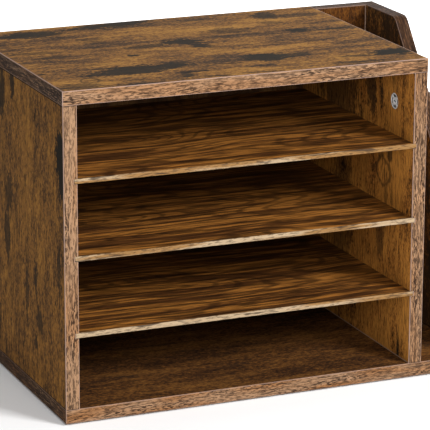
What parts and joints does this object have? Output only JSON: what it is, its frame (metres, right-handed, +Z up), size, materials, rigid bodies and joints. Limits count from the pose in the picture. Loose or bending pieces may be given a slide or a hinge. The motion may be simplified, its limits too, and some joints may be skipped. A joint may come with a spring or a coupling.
{
  "type": "desk organizer",
  "caption": "Rustic-board desk organizer: a paper cabinet with thin shelves that slide in grooves, and stepped file bays with sloping fronts on a shared base board.",
  "frame": {"origin": "centre of the footprint, on the surface that the foot pads stand on", "axes": "+X to the user's right, from the cabinet towards the file bays; +Y from the open front to the back; +Z up"},
  "size_m": [0.4784, 0.25, 0.2984],
  "materials": {
    "rustic_board": "satin",
    "board_edging": "matte",
    "thin_shelf_board": "satin",
    "hardboard": "matte",
    "beech": "matte",
    "plated_steel": "satin",
    "zinc": "satin",
    "pad_rubber": "matte"
  },
  "bodies": {
    "carcass": {"base_board": "rustic_board", "base_board_edging": "board_edging", "top_board": "rustic_board", "top_board_edging": "board_edging", "left_side_panel": "rustic_board", "left_side_panel_edging": "board_edging", "right_side_panel": "rustic_board", "right_side_panel_edging": "board_edging", "tall_divider": "rustic_board", "tall_divider_edging": "board_edging", "low_end_panel": "rustic_board", "low_end_panel_edging": "board_edging", "tall_bay_back": "rustic_board", "tall_bay_back_edging": "board_edging", "low_bay_back": "rustic_board", "low_bay_back_edging": "board_edging", "cabinet_back_sheet": "hardboard", "base_dowels": "beech", "top_dowels": "beech", "bay_dowels": "beech", "base_screws": "plated_steel", "top_cam_locks": "zinc", "top_cam_bolts": "plated_steel", "bay_cam_locks": "zinc", "bay_cam_bolts": "plated_steel", "foot_pads": "pad_rubber"},
    "lower_shelf": {"lower_shelf": "thin_shelf_board"},
    "middle_shelf": {"middle_shelf": "thin_shelf_board"},
    "upper_shelf": {"upper_shelf": "thin_shelf_board"}
  },
  "joints": [
    {"name": "lower_shelf_slide", "type": "slide", "parent": "carcass", "child": "lower_shelf", "axis": [0, -1, 0], "range_m": [0, 0.21]},
    {"name": "middle_shelf_slide", "type": "slide", "parent": "carcass", "child": "middle_shelf", "axis": [0, -1, 0], "range_m": [0, 0.21]},
    {"name": "upper_shelf_slide", "type": "slide", "parent": "carcass", "child": "upper_shelf", "axis": [0, -1, 0], "range_m": [0, 0.21]}
  ]
}
